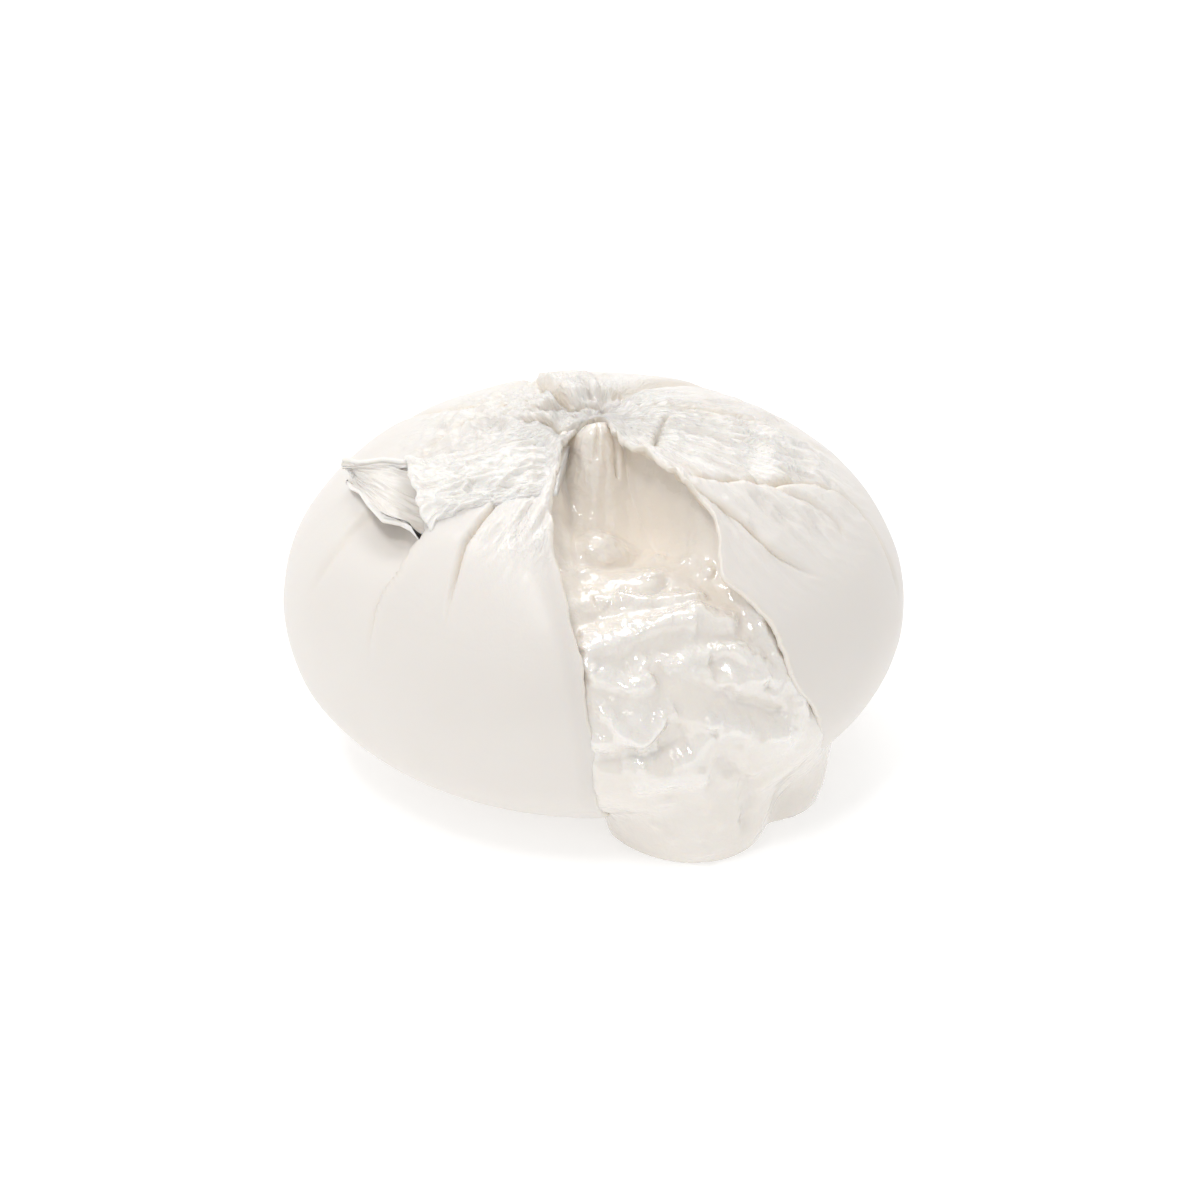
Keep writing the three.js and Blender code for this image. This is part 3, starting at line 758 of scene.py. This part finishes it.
def lobe_reach(lobe, way):
    """How far a direction goes until it leaves a lobe; less and less where it misses the lobe."""
    size = np.array([lobe[3], lobe[3], lobe[4]])
    start, step = (CENTRE - lobe[:3]) / size, way / size
    stretch = (step**2).sum(-1)
    nearest = -(step @ start) / stretch
    miss = ((start + nearest[..., None] * step) ** 2).sum(-1)
    return nearest + np.sqrt(np.maximum(1 - miss, 0) / stretch) - 14 * np.maximum(miss - 1, 0)


def on_filling(polar, azimuth):
    """The free surface of the cream with its lobes, in angles from the middle of the girth."""
    polar, azimuth = np.broadcast_arrays(np.asarray(polar, float), azimuth)
    way = ray(polar, azimuth)
    off = np.abs(turn_from(azimuth, curve_at(FLOW_MIDDLE, polar))) - curve_at(FLOW_HALF_WIDTH, polar)
    under = np.maximum(ease(off, -7, 7), ease(way[..., 1] * 28, -2.5, 3.0) * (1 - ease(polar, 12, 30)))
    depth = curve_at(FLOW_DEPTH, polar) * (1 - under) + 1.5 * under + 5 * ease(off, 16, 40)
    depth = depth + 3.5 * ease(way[..., 1] * 28, 3.0, 6.0) * (1 - ease(polar, 40, 60))
    reaches = [curve_at(POUCH_REACH, polar) - depth] + [lobe_reach(lobe, way) for lobe in LOBES]
    top = np.max(reaches, axis=0)
    reach = top + LOBE_BLEND * np.log(sum(np.exp((r - top) / LOBE_BLEND) for r in reaches))
    down = np.maximum(-way[..., 2], 1e-6)
    return CENTRE + np.minimum(reach, GIRTH_HEIGHT / down)[..., None] * way


print("flow at the girth, mm from the middle:", np.linalg.norm(on_filling(90.0, -70.0) - CENTRE).round(1))

# %% [markdown]
# The torn curd lies in the cream in ledges that run across the flow. A fluid simulation would make soft
# waves, not torn curd, so a ledge is drawn like a fold: a crest along a path, a dip above it, and a lean
# that makes it hang over what lies below. A ledge with a height below zero is a groove. Smaller ones are
# scattered over the flow at random.

# %% Ledges
LEDGES = [
    # path, height of the crest, its width above and below, dip above it, lean downhill
    ([[62, -86], [63.3, -76], [64, -66], [64.8, -58]], 1, (1.2, 1), 0, 0.3),
    ([[59.8, -83], [61.2, -77], [61.2, -71.5], [59.4, -66]], -1.1, (0.5, 0.5), 0, 0),
    ([[4, -80], [7, -83], [9.5, -85], [12, -86]], -0.9, (0.3, 0.3), 0, 0),
    ([[8, -20], [9.7, -34], [12.9, -50], [15, -55]], -0.9, (0.3, 0.3), 0, 0),
    ([[74.5, -95], [72.6, -91], [71.6, -86], [69.4, -78], [68.4, -68], [70.8, -59.5], [72.5, -56]],
     1.7, (2.2, 1.6), 0.5, 0.4),
    ([[76, -92], [77.6, -87], [79, -81], [77.6, -77.5]], 1, (1.5, 1), 0.3, 0.3),
    ([[77.4, -76], [76.2, -73.5], [75.4, -69], [76.6, -65.5]], 0.8, (1.3, 0.9), 0.2, 0.3),
    ([[82, -90.5], [84.1, -87], [87, -84.4], [88.1, -82.6], [87.8, -80.2], [85.2, -77.8], [82.6, -78.6]],
     0.8, (0.8, 0.8), 0, 0.3),
    ([[74, -60], [77, -60], [79.5, -56.5], [84, -53]], 0.9, (1.8, 1), 0.4, 0.4),
    ([[80, -66.5], [83.4, -63.5], [86, -59.5], [88, -56], [88.6, -52.5]], -1.2, (1.1, 1.1), -0.5, -0.2),
    ([[91.6, -91.5], [91.4, -82], [89.6, -77], [88, -72]], -1.1, (1.6, 1.4), -0.5, -0.2),
    ([[93, -69], [96, -65.4], [99, -62.6], [102, -61], [107, -60.4], [114, -60.4]],
     -1, (1.3, 1.3), 0, 0),
    ([[64, -51], [70, -51.5], [76, -51.4], [84, -50.5], [92, -48.5]], 1.2, (1.6, 1.6), 0, 0),
    ([[66, -97], [76, -94.5], [86, -92.5], [96, -91.5], [108, -90.5]], -0.8, (1, 1), 0, 0),
    ([[97.5, -84], [96.5, -76], [98, -69]], 0.5, (2.6, 1.6), 0.2, 0.2),
]
LEDGE_REACH = 12
chance = np.random.default_rng(8)


def across_flow(polar, place):
    """The azimuth of a place across the flow, from -1 at its left edge to 1 at its right."""
    return float(curve_at(FLOW_MIDDLE, polar) + place * curve_at(FLOW_HALF_WIDTH, polar))


for _ in range(40):
    polar, place, reach = chance.uniform(62, 93), chance.uniform(-0.85, 0.85), chance.uniform(1.5, 4.0)
    azimuth = across_flow(polar, place)
    slope, rise = chance.normal(0, 1.2), chance.uniform(0.2, 0.6)
    end = [polar - slope + chance.normal(0, 0.8), azimuth + reach]
    path = [[polar + slope, azimuth - reach], [polar, azimuth], end]
    LEDGES.append((path, rise, (0.8 + 0.6 * rise, 0.6), 0.2 * rise, 0.2 * rise))
print("ledges:", len(LEDGES))

# %% [markdown]
# Between the ledges lie round humps, where a bit of curd pushes up, and a few pits, which are humps with
# a height below zero. The largest are whole pieces of curd: two fill the hood at the top of the tear,
# and the others lie at the foot of the hollow.

# %% Humps
HUMPS = [
    # polar, azimuth, radius, height
    [5, -66, 4.4, 4.2], [11, -98, 3.6, 2], [46.5, -98.5, 4.9, 3.8], [54, -98, 3.2, 1.7],
    [56.6, -71, 3.1, 3.2], [44, -83, 2.6, 1.5], [48, -77, 2.2, 1.2], [40, -89, 2, 1.3],
    [46, -72, 1.8, 0.9], [41.5, -79, 1.5, 1], [50, -85, 1.6, 1], [47, -90, 1.5, 0.8],
    [55.4, -54.7, 1.3, 1.2], [59.7, -54.1, 1.4, 1.2], [52, -58, 1.3, 0.9], [67.5, -88.5, 2.6, -1.6],
    [73.8, -93.5, 1.1, -1.2], [84.6, -82, 3, 0.8], [79.5, -58, 3.2, 1], [94.5, -78, 6, 0.6],
    [101, -55, 6, 1], [77.5, -65.8, 1, -0.7], [57, -84, 2.2, 1], [80, -70, 5, 0.4],
    [65, -80, 3, 0.4], [82, -63, 1.6, 0.7], [80.5, -65, 1.2, 0.6], [78.5, -62.5, 1.1, 0.6],
    [81, -57, 1.3, 0.7], [90, -62, 3.4, 0.5], [92.5, -54, 3.6, 0.6], [110, -72, 7, 0.8],
    [88.5, -89, 2, 0.6], [60, -90, 1.5, 0.7], [54, -92, 1.4, 0.7],
]
for _ in range(26):
    polar, place = chance.uniform(84, 118), chance.uniform(-0.8, 0.8)
    HUMPS.append([polar, across_flow(polar, place), chance.uniform(0.9, 1.7), chance.uniform(0.25, 0.5)])
print("humps:", len(HUMPS))

# %% [markdown]
# Both are added to the smooth filling, and with them a slow swell and the small wet wrinkles of cream.
# A hump moves points straight away from the middle of the pouch, and not along the surface's own normals,
# because those cross each other in a hollow and would fold the surface. How near each point is to a crest
# is kept, because the crests are wetter, and the material paints them whiter as a painted highlight.

# %% Relief of the filling
def filling_relief(point, normal):
    """How the ledges, humps and small wet wrinkles move points of the filling."""
    moved, height, crests = np.zeros_like(point), np.zeros(len(point)), np.zeros(len(point))
    for path, rise, (upper, lower), dip, lean in LEDGES:
        line = path_line(path, on_filling)
        near = near_line(line, point, LEDGE_REACH)
        s, share, across = beside(line, point[near], normal[near])
        s = s + 0.5 * clouds(*(point[near] / 2.6).T) + 0.2 * clouds(*(point[near] / 0.9).T)
        fade = ease(share, 0, 0.12) * (1 - ease(share, 0.88, 1.0))
        crest = np.where(s > 0, bell(s, upper), bell(s, lower))
        height[near] += fade * (rise * crest - dip * bell(s - 2.1 * upper, upper))
        moved[near] -= (fade * lean * bell(s, 1.2 * lower))[:, None] * across
        crests[near] = np.maximum(crests[near], fade * bell(s - 0.3, 1.6) * min(1, max(0, 1.4 * rise)))
    way = heading(CENTRE, point)
    for polar, azimuth, radius, rise in HUMPS:
        apart = np.linalg.norm(point - on_filling(polar, azimuth), axis=1)
        moved += (rise * bell(apart, radius) ** (1.0 if rise < 0 else 1.3))[:, None] * way
        crests = np.maximum(crests, 0.8 * bell(apart, 1.2 * radius) * (0.5 < rise) * (radius < 4.5))
    x, y, z = point.T
    warp = [1.3 * clouds(x / 3, y / 3, z / 3 + n) for n in (0, 20, 40)]
    swell = 0.45 * clouds(x / 5, y / 5, z / 5) + 0.16 * ease(z, 8, 18) * clouds(x / 2.4, y / 2.4, z / 2.4)
    ripple = creased((x + warp[0]) / 2.6, (y + warp[1]) / 2.6, (z + warp[2]) / 1.7)
    wrinkle = creased((x + warp[1]) / 1.1, (y + warp[2]) / 1.1, (z + warp[0]) / 0.8)
    rough = 0.14 * ease(z, 12, 20) + 0.45 * crests
    height += swell + rough * (0.32 * ripple + 0.2 * wrinkle)
    strings = 0.4 * clouds((x + 0.4 * warp[0]) / 1.7, y / 9, z / 8)
    strings = strings + 0.15 * clouds((x + 0.3 * warp[1]) / 0.8, y / 5, z / 5)
    height += ease(z, 37.5, 41) * strings
    calm = ease(z, 0.0, 3.0)[:, None]
    return point + calm * (moved + height[:, None] * normal), crests


sample = filling_relief(on_filling(np.array([70.0]), np.array([-75.0])), ray(70.0, np.array([-75.0])))
print("share of a crest on the upper flow:", sample[1].round(2))

# %% [markdown]
# The filling is a grid once more, fine where the tear shows it and coarse where the skin hides it. Its
# depth below the skin is kept for the material, which paints a warmer shade and a faint glow into the
# hollow.

# %% Lay out the filling
CREAM_ROWS, CREAM_COLUMNS, DEEPEST = 308, 322, 14
cream_row_density = 0.12 + (1 - ease(fine_polars, 118, 142)) * ease(fine_polars, 4, 12)
cream_polars = spread(cream_row_density, fine_polars, CREAM_ROWS + 1)
round_trip = np.linspace(-250, 110, 1441)
cream_column_density = 0.05 + bell(turn_from(round_trip, -72), 34) ** 0.6
cream_azimuths = spread(cream_column_density, round_trip, CREAM_COLUMNS + 1)[:-1]
grid = on_filling(cream_polars[1:-1, None], cream_azimuths[None, :])

filled, crests = filling_relief(grid.reshape(-1, 3), grid_normals(grid).reshape(-1, 3))
cream, row, column = grid_piece("cream", filled.reshape(grid.shape))
modify(cream, "SMOOTH", factor=0.5, iterations=3)
spots = spots_of(cream) / MM
from_centre = spots - CENTRE
distance = np.linalg.norm(from_centre, axis=1)
true_polar = np.degrees(np.arccos(np.clip(from_centre[:, 2] / np.maximum(distance, 1e-6), -1, 1)))
# Under the hood the depth counts as large, so that the painted shade and glow of the hollow reach there
# too.
near_top = 1 - ease(true_polar, 12, 28)
depth = np.maximum(curve_at(POUCH_REACH, true_polar) - distance, 10 * near_top)
write_on(cream, "depth", np.clip(depth / DEEPEST, 0, 1))
write_on(cream, "crest", on_grid(crests.reshape(grid.shape[:2]), row, column))
face_out(cream)
report(cream)

# %% [markdown]
# ## Materials as arithmetic
# A material is a small machine of nodes. Written node by node it is long and hard to read, so one class
# wraps a socket and lets it be used in plain sums, and another makes nodes from their type, settings
# and inputs.

# %% The two classes
class Signal:
    """A socket that can be used in arithmetic. Each operation adds a Math node."""

    def __init__(self, recipe, socket):
        self.recipe, self.socket = recipe, socket

    def math(self, operation, *values):
        return self.recipe.node("ShaderNodeMath", {"operation": operation}, dict(enumerate(values)))

    def __add__(self, other):
        return self.math("ADD", self, other)

    def __sub__(self, other):
        return self.math("SUBTRACT", self, other)

    def __mul__(self, other):
        return self.math("MULTIPLY", self, other)

    def __rsub__(self, other):
        return self.math("SUBTRACT", other, self)

    def __pow__(self, other):
        return self.math("POWER", self, other)

    __radd__, __rmul__ = __add__, __mul__

    def limited(self):
        return self.recipe.node("ShaderNodeClamp", {}, {"Value": self})


class Recipe:
    """A material that is put together from nodes."""

    def __init__(self, name):
        self.material = bpy.data.materials.new(name)
        self.material.use_nodes = True
        self.tree = self.material.node_tree
        self.tree.nodes.clear()

    def node(self, kind, settings, inputs, output=0):
        """Adds a node: its type, its settings, and the values or links of its sockets."""
        made = self.tree.nodes.new(kind)
        for key, value in settings.items():
            setattr(made, key, value)
        for key, value in inputs.items():
            if isinstance(value, Signal):
                self.tree.links.new(value.socket, made.inputs[key])
            else:
                made.inputs[key].default_value = value
        return Signal(self, made.outputs[output]) if made.outputs else None

    def kept(self, name, vector=False):
        """A number, or three, kept with the vertices."""
        return self.node("ShaderNodeAttribute", {"attribute_name": name}, {}, 1 if vector else 2)

    def stretched(self, vector, scale):
        return self.node("ShaderNodeMapping", {}, {"Vector": vector, "Scale": scale})

    def noise(self, vector, scale, detail, rough=0.5, twist=0.0, settings=(), **more):
        inputs = dict(Vector=vector, Scale=scale, Detail=detail, Roughness=rough, Distortion=twist, **more)
        return self.node("ShaderNodeTexNoise", dict(settings), inputs)

    def ridges(self, vector, scale, detail, rough, twist):
        """Noise with sharp crests, as in drawn curd."""
        settings = {"noise_type": "RIDGED_MULTIFRACTAL", "normalize": True}
        return self.noise(vector, scale, detail, rough, twist, settings, Offset=0.9, Gain=1.6)

    def bump(self, height, strength, depth):
        inputs = {"Height": height, "Strength": strength, "Distance": depth * MM}
        return self.node("ShaderNodeBump", {}, inputs)

    def blend(self, share, first, second):
        """A colour between two others."""
        return self.node("ShaderNodeMix", {"data_type": "RGBA"}, {"Factor": share, 6: first, 7: second}, 2)

    def finish(self, colour, roughness, normal, **constants):
        inputs = {"Base Color": colour, "Roughness": roughness, "Normal": normal}
        inputs.update({key.replace("_", " "): value for key, value in constants.items()})
        surface = self.node("ShaderNodeBsdfPrincipled", {"subsurface_method": "RANDOM_WALK"}, inputs)
        self.node("ShaderNodeOutputMaterial", {}, {"Surface": surface})
        return self.material


print("ready to mix materials")

# %% [markdown]
# ## The skin's finish
# Stretched curd is milk white and a little translucent, with a moist satin sheen. Fine fibres run away from
# the gather. They are strongest where the skin is drawn together and almost gone on the tight belly. Shade
# is painted into the white where shade falls: it is warmer and darker in the creases, round the torn edge
# and on the inside, and a faint painted glow also lifts the inside. The fibres are painted lighter on their
# tops and darker between them, a painted highlight and shade. One even grain would look like plastic, so
# the numbers kept with the vertices say where each of this shows.

# %% Skin material
def skin_finish():
    mix = Recipe("stretched curd")
    here = mix.node("ShaderNodeTexCoord", {}, {}, 3)
    lay = mix.kept("grain", vector=True)
    fibrous, crease_shade, wet = mix.kept("fibrous"), mix.kept("crease_shade"), mix.kept("wet")
    strands = mix.noise(mix.stretched(lay, (0.7, 0.22, 1)), 1.0, 4.0, 0.65, 0.9)
    threads = mix.ridges(mix.stretched(lay, (0.42, 0.3, 1)), 1.0, 4.0, 0.6, 0.6)
    patches, pores = mix.noise(here, 55.0, 3.0), mix.noise(here, 900.0, 2.0)
    colour = mix.blend(patches, (0.785, 0.742, 0.695, 1), (0.81, 0.775, 0.735, 1))
    # Painted highlight and shade of the fibres: the fibrous skin is partly whiter in its own tone, lighter
    # still on the strand tops, and darker and warmer in the valleys between the strands.
    colour = mix.blend((fibrous * (0.6 + strands * 0.5)).limited(), colour, (0.96, 0.93, 0.89, 1))
    colour = mix.blend((fibrous * (0.5 - strands) * 1.6).limited(), colour, (0.80, 0.735, 0.65, 1))
    # Painted shade: the creases, the rolled edges and the inside are tinted warmer and darker, as shade
    # falls there.
    colour = mix.blend((crease_shade * 0.75).limited(), colour, (0.83, 0.745, 0.63, 1))
    roughness = 0.5 + 0.12 * (patches - 0.5) + 0.18 * (strands - 0.5) - 0.12 * fibrous - 0.18 * wet
    coat = (0.05 + 0.4 * fibrous + 0.4 * wet).limited()
    # Painted light: a faint warm glow on the inside of the skin, less on its rolled edges and in wet
    # creases, lifts the shade there.
    painted_glow = mix.blend((crease_shade * wet).limited(), (0, 0, 0, 1), (0.9, 0.78, 0.6, 1))
    height = (fibrous * 0.95 + 0.05) * (strands * 0.7 + threads * 0.3) + pores * 0.03 + patches * 0.08
    return mix.finish(
        colour, roughness.limited(), mix.bump(height, 0.75, 0.5),
        IOR=1.4, Subsurface_Weight=0.25, Subsurface_Radius=(1.0, 0.75, 0.5), Subsurface_Scale=1.0 * MM,
        Coat_Weight=coat, Coat_Roughness=0.22, Emission_Color=painted_glow, Emission_Strength=0.08,
    )


skin_material = skin_finish()
for piece in (skin, neck):
    piece.data.materials.clear()
    piece.data.materials.append(skin_material)
print("skin nodes:", len(skin_material.node_tree.nodes))

# %% [markdown]
# ## The cream's finish
# Cream is wetter than the skin: it mirrors the light in small sharp spots. Bits of curd under its surface
# make it uneven. Deep in the hollow a warmer painted shade and a faint painted glow go into its colour, and
# its crests are painted whiter, a painted highlight. One even gloss would look like glaze, so the wet coat
# is thickest on the crests and fades into the depth.

# %% Cream material
def cream_finish():
    mix = Recipe("curd in cream")
    here = mix.node("ShaderNodeTexCoord", {}, {}, 3)
    depth, crest = mix.kept("depth"), mix.kept("crest")
    cloudy = mix.noise(here, 130.0, 3.0, 0.55)
    bits = mix.noise(here, 420.0, 3.0, twist=0.4)
    film = mix.noise(here, 1100.0, 2.0)
    wrinkles = mix.ridges(here, 520.0, 3.0, 0.6, 0.8)
    colour = mix.blend(cloudy, (0.82, 0.765, 0.695, 1), (0.86, 0.82, 0.77, 1))
    # Painted highlight: the crests are painted whiter.
    colour = mix.blend((crest * 0.6).limited(), colour, (0.92, 0.89, 0.85, 1))
    # Painted shade: deep in the hollow and under the hood the cream is tinted warmer.
    colour = mix.blend((depth ** 1.3 * 0.85).limited(), colour, (0.885, 0.815, 0.73, 1))
    # Painted light: a faint warm glow deep in the hollow lifts its shade.
    painted_glow = mix.blend((depth * 1.1 - 0.1).limited(), (0, 0, 0, 1), (0.9, 0.8, 0.68, 1))
    roughness = (0.16 + 0.16 * (bits - 0.4) + 0.35 * depth - 0.12 * crest).limited()
    height = bits * (0.5 + 0.9 * crest) + cloudy * 0.4 + film * 0.08 + wrinkles * crest * 0.1
    return mix.finish(
        colour, roughness, mix.bump(height, 0.6, 0.8),
        IOR=1.42, Subsurface_Weight=0.3, Subsurface_Radius=(1.0, 0.75, 0.45), Subsurface_Scale=1.4 * MM,
        Coat_Weight=(0.45 - 0.5 * depth + 0.9 * crest).limited(), Coat_Roughness=0.06, Coat_IOR=2.2,
        Emission_Color=painted_glow, Emission_Strength=0.04,
    )


cream.data.materials.clear()
cream.data.materials.append(cream_finish())
print("cream nodes:", len(cream.data.materials[0].node_tree.nodes))

# %% [markdown]
# ## The pieces and the solids they stand for
# The skin and the neck stand for the pouch, and the cream for the filling. All ride on the one body,
# because nothing on a burrata turns or slides. The plain solids stay behind them, for weight and contact.

# %% Tie the pieces to the frame
for piece, node, slot in ((skin, "pouch", "skin"), (neck, "pouch", "skin"), (cream, "filling", "cream")):
    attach(piece, "root")
    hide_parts(node)
print("pieces:", [p.name for p in (skin, neck, cream)])

# %% [markdown]
# ## Table, light and camera
# White cheese on a white table needs soft light, or its shadows turn hard and grey. The table glows a
# little, so that almost no shadow is left on it.

# %% Table
bpy.ops.object.select_all(action="DESELECT")
bpy.ops.mesh.primitive_plane_add(size=6, location=(0, 0, 0))
table = bpy.context.object
table.name = "table"
plain = Recipe("plain white")
table.data.materials.append(
    plain.finish(
        (0.7, 0.7, 0.7, 1), 0.9, plain.node("ShaderNodeNewGeometry", {}, {}, 1),
        Specular_IOR_Level=0.1, Emission_Color=(1, 1, 1, 1), Emission_Strength=0.44,
    )
)
print("table:", table.name)

# %% [markdown]
# The light comes from all round, with a small lamp in front at the upper left. Gloss only shows where it
# mirrors something bright towards the eye, so a broad lamp stands behind the cheese like a window: the
# wet ridges catch it along their upper sides. A smaller one behind on the left does so for the neck.

# %% Light
world = bpy.data.worlds.new("studio")
bpy.context.scene.world = world
world.use_nodes = True
world.node_tree.nodes["Background"].inputs["Color"].default_value = (1, 1, 1, 1)
world.node_tree.nodes["Background"].inputs["Strength"].default_value = 0.67
LIT_PLACE = (0, 0, 0.03)


def soft_box(name, place, size, power):
    """A square lamp that is turned to the middle of the cheese."""
    bpy.ops.object.light_add(type="AREA", location=place)
    lamp = bpy.context.object
    lamp.name = name
    lamp.data.size = size
    lamp.data.energy = power
    x, y, z = np.array(place) - LIT_PLACE
    lamp.rotation_euler = (math.atan2(math.hypot(x, y), z), 0, math.atan2(y, x) + math.pi / 2)


soft_box("key", (-0.18, -0.30, 0.70), 0.16, 1.3)
soft_box("window", (0.05, 0.50, 0.58), 0.40, 1.6)
soft_box("glint", (-0.30, 0.20, 0.55), 0.10, 0.5)
print("lights set")

# %% [markdown]
# The camera looks down at 30 degrees from 600 mm away, with a long lens, as one looks at food on a table.
# The lens follows from how wide half the girth has to be in a frame of 1200 pixels.

# %% Camera
AIM = np.array([0, 0, GIRTH_HEIGHT * MM])
LOOK_DOWN, AWAY = math.radians(30), 0.6
FRAME_PIXELS, GIRTH_PIXELS = 1200, 310
RIGHT_PIXELS, DOWN_PIXELS = 6, -10
bpy.ops.object.camera_add(
    location=AIM + AWAY * np.array([0, -math.cos(LOOK_DOWN), math.sin(LOOK_DOWN)]),
    rotation=(math.pi / 2 - LOOK_DOWN, 0, 0),
)
camera = bpy.context.object
camera.data.sensor_width = 36
camera.data.lens = camera.data.sensor_width * AWAY / (FRAME_PIXELS / GIRTH_PIXELS * GIRTH_RADIUS * MM)
camera.data.shift_x, camera.data.shift_y = RIGHT_PIXELS / FRAME_PIXELS, DOWN_PIXELS / FRAME_PIXELS
bpy.context.scene.camera = camera
bpy.context.scene.view_settings.view_transform = "Standard"
print("lens, mm:", round(camera.data.lens, 1))
